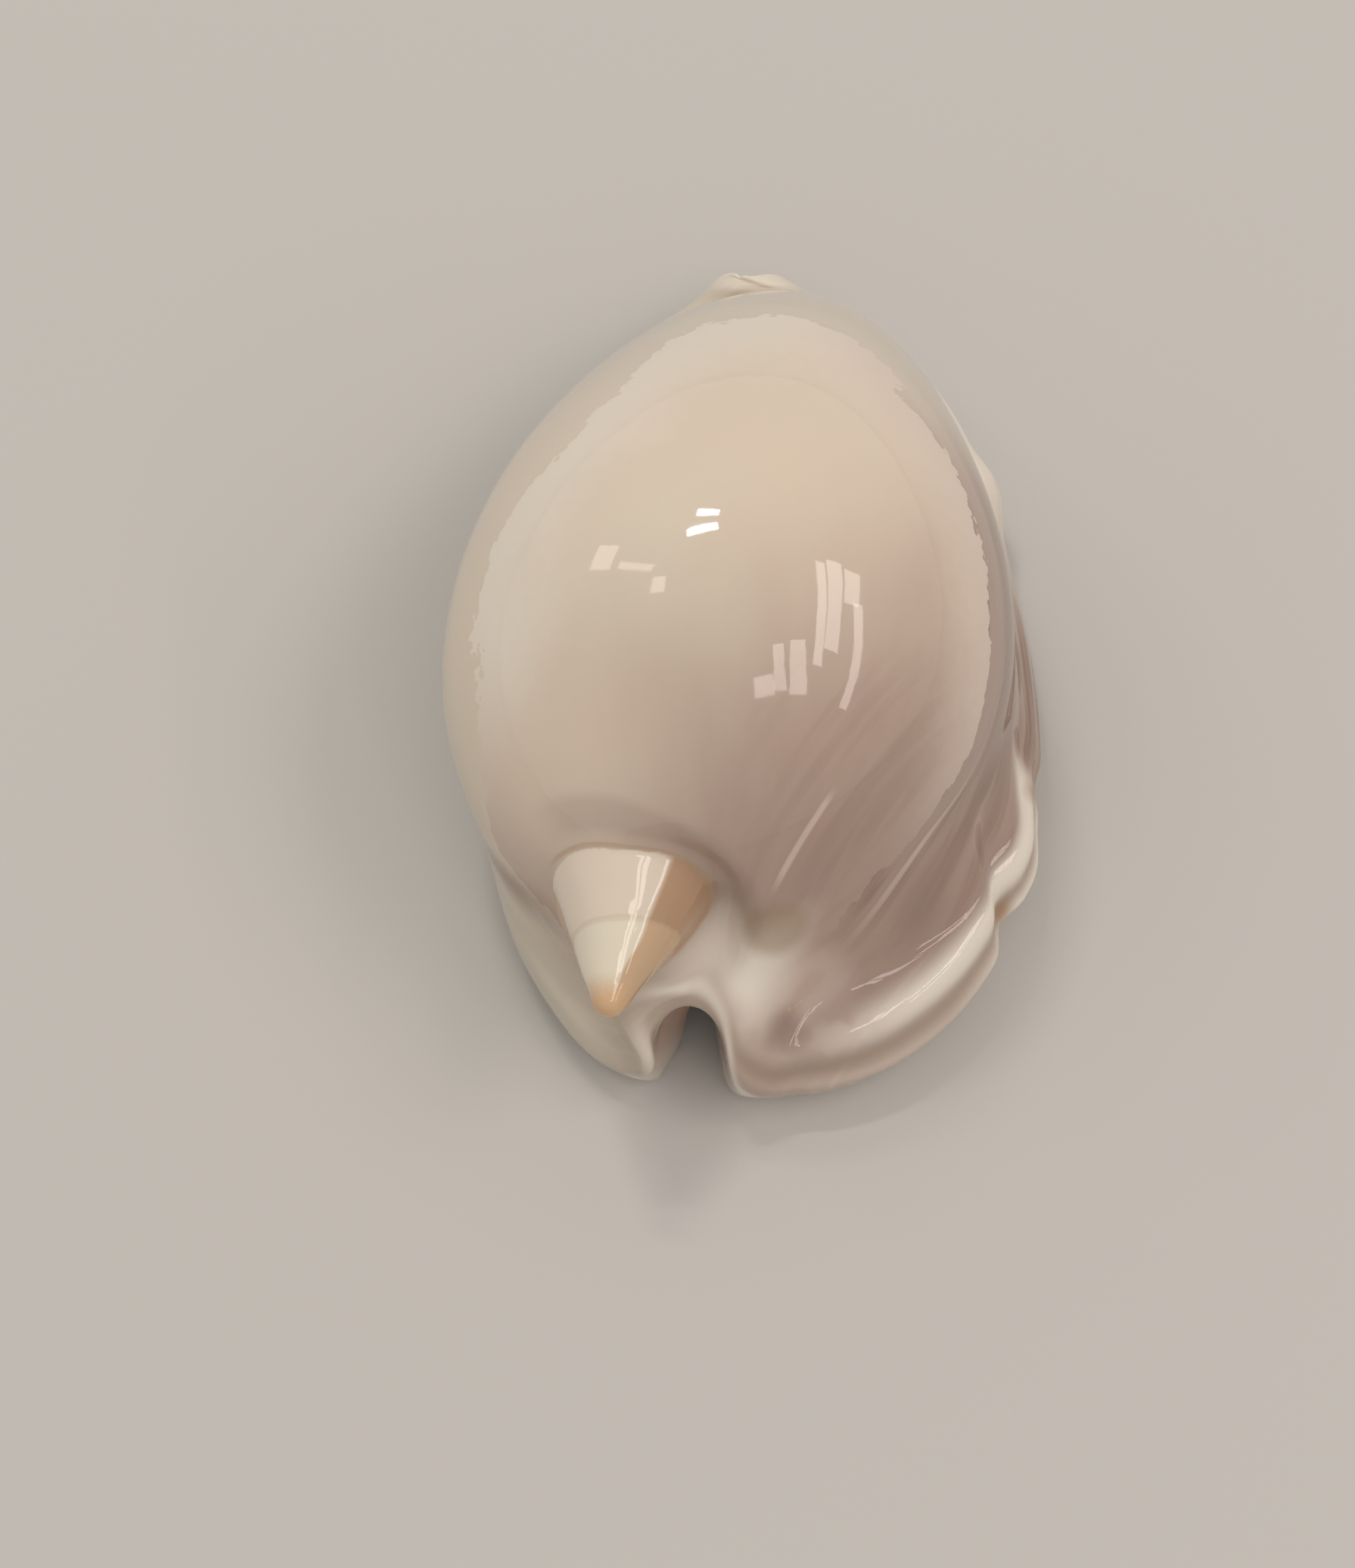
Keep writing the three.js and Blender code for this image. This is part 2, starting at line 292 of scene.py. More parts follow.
def around(side):
    """Direction round the spire's axis in degrees, from +X over the top."""
    return np.degrees(np.arctan2(side[..., 2], side[..., 0]))


def second_seam(turn):
    """How far out the spire's spiral seam lies on its second winding, which you see from above."""
    return SEAM["radius"] * np.exp(-SEAM["shrink"] * np.clip(turn, -60, 180))


def smooth_max(a, b, width):
    """The larger of two heights, with the corner between them rounded over the given width."""
    return b + 0.5 * (a - b + np.sqrt((a - b) ** 2 + width ** 2))


def clear_spire(points, depth=0.0):
    """Moves the skin forward along the spire's axis on its outer-lip side, so that the body stays
    behind the spire's foot. It then slopes away from the foot, and joins the body 3.5 mm further
    out. The inner skin stays depth behind the outer."""
    axis, up, side, r = spire_frame(points)
    window = 1 - step(35, 80, np.abs(wrap(around(side) - 28)))
    share = window * (1 - step(SPIRE["radius"] + 0.6, SPIRE["radius"] + 3.5, r)) * (points[..., 1] < 0)
    slope = -0.35 * np.clip(r - SPIRE["radius"], 0, None) - depth
    return points - (np.clip(up - slope, 0, 6) * share)[..., None] * axis


def raise_spire(points):
    """Lifts the skin along the spire's axis into a cone with a small round tip. The cone's height
    falls in a straight line with the distance from the axis as far as the seam with the body, and
    less steeply beyond it, as a skirt that meets the body. Each seam is a fine groove with a slight
    swelling inside it. Columns near the axis are gathered to half their spacing first. Returns the
    points and how far each belongs to the cone."""
    axis, up, side, r = spire_frame(points)
    near = (up > -6) & (points[..., 1] < 0)
    gather = np.where(near, 1 - 0.5 * np.clip(1 - (r / 4.8) ** 2, 0, None) ** 2, 1.0)
    side, r = side * gather[..., None], r * gather
    foot = SPIRE["radius"]
    steep = SPIRE["height"] / foot
    cone = SPIRE["height"] - steep * np.sqrt(np.minimum(r, foot) ** 2 + 0.04)
    cone = cone - SKIRT_SLOPE * np.clip(r - foot, 0, None)
    for seam, depth in ((foot, 0.08), (second_seam(around(side)), 0.14), (SEAM["tip_radius"], 0.10)):
        groove = depth * np.exp(-(((r - seam) / SEAM["width"]) ** 2))
        cone = cone - groove + 0.08 * bell((r - seam + SEAM["swelling"]) / SEAM["swelling"])
    tip = NUB["centre"] + np.sqrt(np.clip(NUB["radius"] ** 2 - r * r, 0, None))
    tip = tip - 6 * np.clip(r - NUB["radius"], 0, None)
    cone = np.where(r < 2 * NUB["radius"], np.minimum(smooth_max(cone, tip, 0.2), cone + 0.15), cone)
    cone = np.minimum(cone, np.where(r < NUB["radius"], tip + 0.05, cone))
    under = step(-0.1, 0.6, -side[..., 2] / np.maximum(r, 0.5))
    width = 0.2 + 2.2 * under * step(1.2, 3.5, r)
    gap = cone - up
    share = 0.5 + 0.5 * gap / np.sqrt(gap ** 2 + width ** 2)
    fade = 1 - step(foot + 0.8, foot + 4.0 - 2.0 * under, r)
    push = np.where(near, (smooth_max(cone, up, width) - up) * fade, 0)
    return np.array(SPIRE["centre"]) + side + (up + push)[..., None] * axis, share * near * fade


def relax(points, weight, rounds):
    """Evens the skin out: again and again, each point moves by its weight towards the middle of its
    four neighbours."""
    for _ in range(rounds):
        beside = np.roll(points, 1, 1) + np.roll(points, -1, 1)
        middle = (beside + np.roll(points, 1, 0) + np.roll(points, -1, 0)) / 4
        points = points + (middle - points) * weight[..., None]
    return points


def normals(points):
    """Outward unit normals of a grid that closes on itself sideways: the cross product of its two
    slopes."""
    down = np.gradient(points, axis=0)
    round_ = np.roll(points, -1, 1) - np.roll(points, 1, 1)
    return unit(np.cross(down, round_))


def teeth(points, ring):
    """Evenly spaced ridges across both lips of the slit: a raised cosine along the lip, strongest
    where the lip turns in."""
    y = points[..., 1]
    wave = 0.5 + 0.5 * np.cos(2 * np.pi * y / TOOTH_SPACING)
    across = span((LIP_RING - 3.6, LIP_RING - 1.2), (LIP_RING + 1.2, LIP_RING + 2.4), ring)
    along = span((-22, -17), (21, 25), y)
    return 0.42 * across * along * (wave ** 1.5 - 0.4)


def ripple(points, seed, size):
    """A smooth random field between about -1 and 1, the sum of eight seeded sine waves whose lengths
    are about the given size."""
    rng = np.random.default_rng(seed)
    total = 0
    for _ in range(8):
        direction = unit(rng.normal(size=3))
        k = 2 * np.pi / (size * rng.uniform(0.7, 1.6))
        total = total + np.sin(points @ direction * k + rng.uniform(0, 2 * np.pi))
    return total / 4


def shell_surface(columns):
    """The whole skin as a grid of points (row, column, 3), with each point's ring number, its column's
    angle and its share in the spire. Columns stand closer together at the two canals."""
    t = np.arange(columns) / columns
    crowding = 0.5
    angle = REAR + 360 * t - crowding * 360 / (4 * np.pi) * np.sin(4 * np.pi * t)
    control = control_rings(angle)
    count = len(control)
    far = control_rings(angle + 180)
    full = np.concatenate((far[1:2], control, far[-2:-1]))
    rows = [rows_per_ring(i) for i in range(count - 1)]
    ring = np.concatenate([np.arange(n) / n + i for i, n in enumerate(rows)] + [np.array([count - 1.0])])
    points = np.einsum("ij,jkl->ikl", spline_weights(ring, count), full)
    # over the back the body is taken as it is, which keeps its pole smooth
    share = np.clip(ring / BODY_RINGS, 0, 1)[:, None]
    exact = back(angle[None, :], share)[0]
    points = mix(points, exact, (1 - step(6.5, 9.4, ring))[:, None])
    points[-1] = points[-1, :1]
    rear = wrap(angle - REAR)
    # the skin is evened out where its rings crowd together round the rear canal
    soft = 0.5 * bell(rear / 22) * span((9.6, 11.0), (17.5, 20.0), ring)[:, None]
    points = relax(points, soft, rounds=60)
    outside, inside = ring < EDGE_RING, ring > LIP_RING
    points[inside] = clear_spire(points[inside], WALL)
    on_spire = np.zeros(points.shape[:2])
    points[outside], on_spire[outside] = raise_spire(clear_spire(points[outside]))
    return points, ring[:, None] + 0 * angle, angle[None, :] + 0 * ring[:, None], on_spire


def rows_per_ring(i):
    """More rows where the skin curves tightly or carries detail."""
    if i < 4:
        return 6
    if i < 9:
        return 12
    if i < EDGE_RING:
        return 9
    if i < LIP_RING - 4:
        return 3
    return 6 if i < LIP_RING + 2 else 3


def details(points, ring, angle, on_spire):
    """Moves the skin along its normals: the teeth, the lumps and the valley of the callus, the ridge
    beside the rear canal, and a faint unevenness of the back and the spire."""
    over_rear = over_canals(angle)[0]
    outer = 1 - step(EDGE_RING - 1.5, EDGE_RING + 0.5, ring)
    callus = step(10.6, 12.0, ring) * outer
    move = teeth(points, ring)
    stretched = points * np.array((0.5, 0.5, 1.0))
    move = move + 0.13 * callus * (1 - over_rear) * ripple(stretched, seed=4, size=4.0)
    # along the rolled margin a shallow valley outside the crest, then a thin outer rim
    roll = right_side(angle) * (1 - over_rear)
    move = move + roll * (0.12 * bell((ring - 15.7) / 0.8) - 0.22 * bell((ring - 14.9) / 0.8))
    move = move + 0.012 * outer * ripple(points, seed=9, size=6.0)
    # the old whorls of the spire are faintly wavy
    move = move + 0.022 * on_spire * ripple(points, seed=12, size=3.0)
    # the inner-lip side of the canal ends in a rounded ridge with a groove behind it
    rear = wrap(angle - REAR)
    along_lip = span((11.0, 13.0), (16.5, 17.5), ring)
    move = move + along_lip * (0.40 * bell((rear + 6.5) / 3.0) - 0.22 * bell((rear + 11.0) / 3.2))
    points = points + normals(points) * move[..., None]
    points[..., 2] = np.clip(points[..., 2], 0, None)
    return points


# ---- masks that the finish reads, one value for each vertex ----

def masks(points, ring, angle, on_spire):
    """Named fields that say which part of the skin a point belongs to, from 0 to 1. Only "below" is
    signed: rings below the ragged line where the painted reflection on the back ends."""
    rear = wrap(angle - REAR)
    # the painted reflection on the back ends lower at the rear, and higher on the inner-lip flank
    past_flank = np.abs(wrap(angle - 92)) - 60
    reflection_edge = 3.9 + 0.03 * (past_flank + np.sqrt(past_flank ** 2 + 400))
    reflection_edge = reflection_edge - 0.9 * bell(wrap(angle - 172) / 55) - 1.5 * bell(wrap(angle - 216) / 28)
    # the rolled margin is white from its inner edge out, and less white in its valley at the rear, where
    # painted shade goes
    side = span((-94, -84), (-18, -13), angle)
    white = span((-86, -50), (-18, -13), angle)
    front = bell(wrap(angle - 38) / 40) + bell(wrap(angle - 93) / 22)
    inner_edge = 12.4 - 1.8 * bell(wrap(angle + 13) / 17)
    roll = step(inner_edge, inner_edge + 1.2, ring) * (0.15 * side + 0.85 * white)
    roll = roll + 0.75 * step(11.3, 12.3, ring) * front
    valley_shade = step(14.3, 15.2, ring) * (1 - step(-50, -30, angle)) * right_side(angle)
    roll = roll * (1 - 0.55 * valley_shade)
    base = step(16.2, 18.0, ring)
    canal = bell(rear / 13) * step(16.6, 17.8, ring)
    # beside the rear canal a white bank on the outer-lip side and a white ridge on the other
    bank = bell(wrap(angle + 93 - 3.2 * (ring - 14.3)) / 3.4) * span((12.3, 13.6), (17.0, 17.8), ring)
    bank = 0.9 * step(-99, -93, angle) * bank
    crest = 0.75 * bell((rear + 6.8) / 3.4) * step(13.2, 14.6, ring)
    patches = bell(wrap(angle + 55) / 14) + 0.2 * bell(wrap(angle + 78) / 8)
    between_teeth = 0.5 - 0.5 * np.cos(2 * np.pi * points[..., 1] / TOOTH_SPACING)
    return {
        "spire": on_spire,
        # rings past the ragged edge of the painted reflection
        "below": ring - reflection_edge,
        "hollow": step(10.2, 11.4, ring) * side,
        "rim": bell((ring - 13.6) / 1.4) * bell(wrap(angle + 76) / 20),
        "callus": np.clip(roll + crest + bank + base * (1 - canal), 0, 1),
        # painted shade along the valley outside the callus's crest
        "valley": bell((ring - 14.9) / 0.9) * side,
        "trough": np.clip(bell((ring - 11.5) / 1.2) * patches, 0, 1),
        "saddle": bell((ring - 12.2) / 3.6) * bell(wrap(angle + 91) / 8.5),
        "canal": canal,
        "inside": step(LIP_RING + 0.6, LIP_RING + 3.0, ring),
        "teeth": step(LIP_RING - 3.6, LIP_RING - 1.2, ring) * between_teeth,
        "plate": bell(wrap(angle + 128) / 60) * step(11.0, 12.0, ring),
        # painted shade in the crease where the plate meets the back
        "crease_shade": bell(wrap(angle + 120) / 34) * bell((ring - 10.3) / 1.2),
    }


# ---- meshes ----

def grid_mesh(name, points, fields):
    """A closed mesh from a grid whose first and last rows are poles: a fan of triangles at each pole
    and quads between, with each field as a point attribute."""
    rows, columns = points.shape[:2]
    index = np.zeros((rows, columns), int)
    index[1:-1] = 1 + np.arange((rows - 2) * columns).reshape(rows - 2, columns)
    index[-1] = 1 + (rows - 2) * columns
    after = np.roll(index, -1, 1)
    quads = np.stack((index[1:-2], index[2:-1], after[2:-1], after[1:-2]), -1).reshape(-1, 4)
    top = np.stack((index[0], index[1], after[1]), -1)
    end = np.stack((index[-2], index[-1], after[-2]), -1)

    def flat(values):
        """The grid's values in the order of the mesh's points."""
        return np.concatenate((values[0, :1], values[1:-1].reshape(-1, *values.shape[2:]), values[-1, :1]))

    mesh = bpy.data.meshes.new(name)
    mesh.from_pydata(flat(points), [], quads.tolist() + top.tolist() + end.tolist())
    for key, values in fields.items():
        layer = mesh.attributes.new(key, "FLOAT", "POINT")
        layer.data.foreach_set("value", flat(values).astype(np.float32))
    mesh.polygons.foreach_set("use_smooth", np.ones(len(mesh.polygons), bool))
    mesh.update()
    return mesh


def link(name, mesh):
    """Adds an object for the mesh, at the origin."""
    piece = bpy.data.objects.new(name, mesh)
    bpy.context.scene.collection.objects.link(piece)
    return piece


# ---- materials ----

def linear(code):
    """A linear colour with alpha from an sRGB hex value such as '#d9cbbc'."""
    srgb = np.array([int(code[i:i + 2], 16) for i in (1, 3, 5)]) / 255
    rgb = np.where(srgb <= 0.04045, srgb / 12.92, ((srgb + 0.055) / 1.055) ** 2.4)
    return (*rgb.tolist(), 1.0)


def add_node(material, kind, settings=None, links=None):
    """Adds a node, sets its properties or input values, and links its inputs to other sockets. A key
    that names an input socket sets that input, and any other key sets a property."""
    tree = material.node_tree
    node = tree.nodes.new(kind)
    settings = settings or {}
    for key in [k for k in settings if isinstance(k, str) and hasattr(node, k)]:
        setattr(node, key, settings[key])
    for key in [k for k in settings if not (isinstance(k, str) and hasattr(node, k))]:
        node.inputs[key].default_value = settings[key]
    for key, socket in (links or {}).items():
        tree.links.new(socket, node.inputs[key])
    return node


def new_material(name):
    """An empty node material."""
    material = bpy.data.materials.new(name)
    material.use_nodes = True
    material.node_tree.nodes.clear()
    return material


class Paint:
    """Builds the nodes of one finish. Places are in millimetres, in the axes of the shape's formulas,
    and offset is what takes the frame's millimetres to them."""

    def __init__(self, material, offset):
        self.material = material
        where = add_node(material, "ShaderNodeTexCoord").outputs["Object"]
        placing = {"vector_type": "POINT", 1: offset, 3: (1 / MM, 1 / MM, 1 / MM)}
        self.place = add_node(material, "ShaderNodeMapping", placing, {0: where}).outputs[0]
        self.x, self.y, self.z = self.parts(self.place)

    def parts(self, vector):
        """The three parts of a vector."""
        outputs = add_node(self.material, "ShaderNodeSeparateXYZ", None, {0: vector}).outputs
        return outputs["X"], outputs["Y"], outputs["Z"]

    def field(self, name):
        """One of the masks."""
        return add_node(self.material, "ShaderNodeAttribute", {"attribute_name": name}).outputs["Fac"]

    def combine(self, kind, operation, values):
        """A node that works on values, each a socket or fixed."""
        settings, links = {"operation": operation}, {}
        for i, value in enumerate(values):
            (links if isinstance(value, bpy.types.NodeSocket) else settings)[i] = value
        return add_node(self.material, kind, settings, links)

    def maths(self, operation, *values):
        """One arithmetic step."""
        return self.combine("ShaderNodeMath", operation, values).outputs["Value"]

    def vectors(self, operation, *values):
        """One step on vectors, which gives a vector or a number."""
        number = operation in ("DISTANCE", "DOT_PRODUCT", "LENGTH")
        node = self.combine("ShaderNodeVectorMath", operation, values)
        return node.outputs["Value" if number else "Vector"]

    def minus(self, a, b):
        """a less b."""
        return self.maths("SUBTRACT", a, b)

    def plus(self, *terms):
        """The terms added together."""
        return reduce(lambda a, b: self.maths("ADD", a, b), terms)

    def times(self, *shares):
        """The shares multiplied together."""
        return reduce(lambda a, b: self.maths("MULTIPLY", a, b), shares)

    def rise(self, value, low, high, to_low=0.0, to_high=1.0):
        """A smooth rise from to_low to to_high as value goes from low to high."""
        settings = {"interpolation_type": "SMOOTHSTEP", 1: low, 2: high, 3: to_low, 4: to_high}
        return add_node(self.material, "ShaderNodeMapRange", settings, {0: value}).outputs[0]

    def fall(self, value, low, high):
        """A smooth fall from 1 to 0 as value goes from low to high."""
        return self.rise(value, low, high, 1.0, 0.0)

    def spot(self, at, low, high):
        """1 within low mm of a point and 0 beyond high mm."""
        return self.fall(self.vectors("DISTANCE", self.place, at), low, high)

    def line(self, value, at, half):
        """1 where the value is at, 0 beyond half from it."""
        return self.fall(self.maths("ABSOLUTE", self.minus(value, at)), half * 0.35, half)

    def tilted(self, along_x, along_y):
        """Distance in mm along a level direction."""
        return self.plus(self.times(self.x, along_x), self.times(self.y, along_y))

    def clouds(self, scale, detail, seed=0.0, vector=None):
        """Soft noise around 0.5 with features of 1/scale mm."""
        settings = {"noise_dimensions": "4D", "Scale": scale, "Detail": detail, "W": seed}
        links = {"Vector": vector or self.place}
        return add_node(self.material, "ShaderNodeTexNoise", settings, links).outputs["Fac"]

    def streaks(self, across, along, scale, seed):
        """Noise on two coordinates, the second scaled down so that it is drawn out along it."""
        at = add_node(self.material, "ShaderNodeCombineXYZ", None, {0: across, 1: along}).outputs[0]
        return self.clouds(scale, 3.0, seed, at)

    def blend(self, share, under, over):
        """Lays the colour over upon the colour under by share; each may be a socket or a hex colour."""
        settings, links = {"data_type": "RGBA"}, {0: share}
        for key, colour in ((6, under), (7, over)):
            if isinstance(colour, str):
                settings[key] = linear(colour)
            else:
                links[key] = colour
        return add_node(self.material, "ShaderNodeMix", settings, links).outputs[2]

    def lay(self, colour, *coats):
        """Lays coats upon a colour in turn, each a share and a colour."""
        for share, over in coats:
            colour = self.blend(share, colour, over)
        return colour


def old_lip_edges(p):
    """Old lip edges run slantwise over the rear of the outer-lip side: distance along them, and how
    far they show."""
    shown = p.times(p.fall(p.y, -14.0, -3.0), p.rise(p.x, 1.0, 9.0))
    return p.tilted(0.58, 0.82), shown


def back_colour(p, finish, growth_lines):
    """The back: cream at the top and front, warmer on the crown, mauve-brown towards the rear of the
    outer-lip side, partly its own colour and partly painted shade on the side turned from the lights, with
    streaks and a thin bright thread along the old lip edges."""
    along, shown = old_lip_edges(p)
    across = p.tilted(0.82, -0.58)
    slant = p.streaks(across, p.times(along, 0.05), 0.55, 12.0)
    drift = p.clouds(0.09, 2.0, 1.0)
    # partly painted shade: the mauve deepens towards the rear of the outer-lip side, which faces away from
    # the lights
    shade = p.plus(p.tilted(-0.42, 1.0), p.times(drift, 8.0))
    mauve = p.times(p.fall(shade, -17.0, 11.0), p.rise(growth_lines, 0.3, 0.7, 0.9, 1.0))
    ends = p.times(p.rise(along, -12.6, -11.0), p.fall(along, -7.6, -6.0))
    return p.lay(
        finish.cream,
        (p.rise(drift, 0.35, 0.65), finish.greenish),
        (p.spot((5, 8, 29), 2, 17), finish.warm),
        (mauve, finish.mauve),
        (p.times(p.spot((-9, -13, 21), 2, 12), 0.7), finish.cream),
        (p.times(shown, p.rise(slant, 0.46, 0.54), 0.30), finish.trough),
        (p.times(shown, p.rise(slant, 0.62, 0.66), 0.25), finish.pale_and_reflection),
        (p.times(p.line(across, 14.8, 0.22), ends, 0.55), finish.pale_and_reflection),
    )


def painted_reflection_colour(p, finish, colour):
    """A painted reflection on the back: paler just inside a ragged edge, and beyond the edge a darker
    coat that stands in for the darker reflection along the rim. On the outer-lip side the ragged edge fades
    out before it reaches the spire."""
    along, shown = old_lip_edges(p)
    reflection_edge = p.field("below")
    ragged = p.times(p.minus(p.clouds(0.16, 8.0, 7.0), 0.5), 1.9)
    torn = p.times(p.minus(p.clouds(1.1, 2.0, 8.0), 0.5), 0.7)
    below = p.plus(reflection_edge, ragged, torn)
    # painted reflection: a paler band just inside the ragged edge
    painted_reflection = p.times(p.rise(below, -3.0, -0.1, 0.0, 0.75), p.rise(p.y, -16.0, -4.0))
    bands = p.streaks(reflection_edge, p.times(along, 0.04), 1.3, 9.0)
    # painted reflection: beyond the ragged edge, colours that stand in for the darker reflection along the
    # rim
    coat = p.lay(
        finish.past_reflection_left,
        (p.rise(p.tilted(1.0, -0.5), -4.0, 16.0), finish.past_reflection_right),
        (p.rise(p.y, 10.0, 20.0, 0.0, 0.85), finish.plate),
        (p.rise(bands, 0.42, 0.62, 0.0, 0.28), finish.pale_and_reflection),
        (p.times(p.line(reflection_edge, 0.95, 0.16), shown, 0.5), finish.pale_and_reflection),
    )
    kept = p.maths("MAXIMUM", p.rise(p.y, -19.5, -15.5), p.fall(p.x, -2.0, 2.0))
    return p.lay(
        colour,
        (painted_reflection, p.blend(p.rise(p.x, 0.0, 10.0), finish.white, finish.pale_and_reflection)),
        (p.times(p.rise(below, -0.02, 0.03, 0.0, 0.9), kept), coat),
        (p.times(p.field("hollow"), 0.35), finish.mauve),
    )


def margin_colour(p, finish, colour):
    """The margin: a brown trough, a white callus with painted shade in its valley, painted shade in the
    crease beside the plate, and brown notches at the side.
    """
    mottled = p.rise(p.clouds(0.3, 2.0, 4.0), 0.45, 0.6)
    return p.lay(
        colour,
        (p.times(p.field("trough"), 0.6), finish.trough),
        (p.times(p.spot((7.8, -20.8, 8.4), 1.2, 4.2), 0.4), finish.pale_and_reflection),
        (p.field("plate"), finish.plate),
        # painted shade in the crease where the plate meets the back
        (p.times(p.field("crease_shade"), 0.8), finish.trough),
        (p.field("saddle"), finish.white),
        (p.times(p.spot((5.4, -19.5, 14.1), 1.4, 3.0), 0.55), finish.olive),
        (p.field("callus"), finish.white),
        (p.times(p.field("rim"), mottled, 0.7), finish.mauve),
        (p.times(p.spot((6.3, -23.5, 6.9), 0.3, 2.3), 0.7), finish.trough),
        # painted shade in the valley of the rolled margin
        (p.times(p.field("valley"), 0.8), finish.valley),
        (p.field("canal"), finish.canal),
        (p.times(p.spot((21.6, -4.6, 6.0), 0.1, 1.6), 0.75), finish.stain),
        (p.times(p.spot((20.2, -12.8, 4.5), 0.1, 1.8), 0.75), finish.stain),
    )


def spire_colour(p, finish, colour):
    """The spire: cream on the inner-lip side and tan on the other, each paler inside the spiral seam. The tan
    is its own colour and the cream side is partly a painted reflection. It has brown seams, an orange tip and
    a faint band of painted shade on the body above its foot."""
    axis = tuple(unit(np.array(SPIRE["axis"])))
    foot = SPIRE["radius"]
    rel = p.vectors("SUBTRACT", p.place, SPIRE["centre"])
    up = p.vectors("DOT_PRODUCT", rel, axis)
    side = p.vectors("SUBTRACT", rel, p.vectors("MULTIPLY", up, axis))
    out = p.vectors("LENGTH", side)
    side_x, _, side_z = p.parts(side)
    turn = p.maths("ARCTAN2", side_z, side_x)
    shrunk = p.maths("EXPONENT", p.times(turn, -SEAM["shrink"] * float(np.degrees(1))))
    past_seam = p.minus(out, p.times(shrunk, SEAM["radius"]))
    young = p.fall(past_seam, -0.06, 0.06)
    # partly painted reflection: the cream side, split from the tan along a line down the cone
    light = p.blend(young, finish.spire_light, finish.spire_pale)
    tan = p.blend(young, finish.spire_tan, finish.spire_sand)
    edge = p.plus(turn, p.rise(out, 1.8, 3.0, -0.2, 0.0))
    cone = p.lay(
        light,
        (p.fall(edge, 0.97, 1.1), tan),
        (p.times(p.line(past_seam, 0.0, 0.13), 0.2), finish.seam),
        (p.fall(out, 1.0, 1.9), finish.tip),
    )
    near_foot = p.times(p.fall(p.maths("ABSOLUTE", up), 1.5, 4.0), p.fall(p.y, -13.0, -10.0))
    above = p.times(p.rise(turn, 0.2, 1.0), p.fall(turn, 2.1, 2.7))
    upper = p.times(p.rise(turn, -0.3, 0.1), p.fall(turn, 2.5, 3.0))
    on_cone = p.times(p.rise(p.field("spire"), 0.35, 0.65), p.fall(out, foot - 0.04, foot + 0.08))
    return p.lay(
        colour,
        # painted shade: a faint darker band on the body round the spire's foot, where it curves in to meet
        # the cone
        (p.times(p.line(out, foot + 1.7, 1.4), near_foot, above, 0.26), finish.trough),
        (on_cone, cone),
        (p.times(p.line(out, foot, 0.2), near_foot, upper, 0.5), finish.seam),
    )


def shell_material(finish, offset):
    """Aragonite laid down in thin sheets and polished by the living animal's mantle, like porcelain:
    a clear mirror gloss over a milky body that lets light in a little way."""
    m = new_material("Polished_aragonite")
    p = Paint(m, offset)
    # growth lines run from end to end of the shell: noise on the angle round its long axis
    growth = p.maths("ARCTAN2", p.minus(p.z, 9.0), p.minus(p.x, 2.0))
    growth_lines = p.streaks(growth, p.times(p.y, 0.02), 7.0, 3.0)
    colour = back_colour(p, finish, growth_lines)
    colour = painted_reflection_colour(p, finish, colour)
    colour = margin_colour(p, finish, colour)
    colour = spire_colour(p, finish, colour)
    colour = p.lay(
        colour,
        (p.times(p.field("teeth"), 0.35), finish.stain),
        (p.field("inside"), finish.lining),
    )

    relief = p.plus(p.times(growth_lines, 0.35), p.times(p.clouds(0.8, 3.0), 0.25))
    bump = add_node(m, "ShaderNodeBump", {"Strength": 0.25, "Distance": 0.05 * MM}, {"Height": relief})
    rough = p.rise(p.clouds(0.35, 4.0, 5.0), 0.3, 0.75, 0.02, 0.06)
    shader = add_node(m, "ShaderNodeBsdfPrincipled", {
        "IOR": ARAGONITE_IOR, "Subsurface Weight": 0.15, "Subsurface Radius": (1.0, 0.7, 0.5),
        "Subsurface Scale": 1.2 * MM,
    }, {"Base Color": colour, "Roughness": rough, "Normal": bump.outputs[0]})
    add_node(m, "ShaderNodeOutputMaterial", None, {"Surface": shader.outputs[0]})
    return m


def floor_material(colour):
    """Matt painted board: a soft even surface with a fine tooth."""
    m = new_material("Matt_painted_board")
    where = add_node(m, "ShaderNodeTexCoord").outputs["Object"]
    grain = {"Scale": 900.0, "Detail": 2.0}
    tooth = add_node(m, "ShaderNodeTexNoise", grain, {"Vector": where}).outputs["Fac"]
    bump = add_node(m, "ShaderNodeBump", {"Strength": 0.05, "Distance": 0.1 * MM}, {"Height": tooth})
    shader = add_node(m, "ShaderNodeBsdfPrincipled", {"Base Color": linear(colour), "Roughness": 0.7},
                      {"Normal": bump.outputs[0]})
    add_node(m, "ShaderNodeOutputMaterial", None, {"Surface": shader.outputs[0]})
    return m


# ---- what a user would change ----

class ShellSettings(bpy.types.PropertyGroup):
    columns: IntProperty(name="Columns", description="Points round the shell", default=400,
                         min=64, max=420)


def hex_colour(name, description, default):
    """A setting that holds a colour such as '#d9cbbc'."""
    return StringProperty(name=name, description=description, default=default)


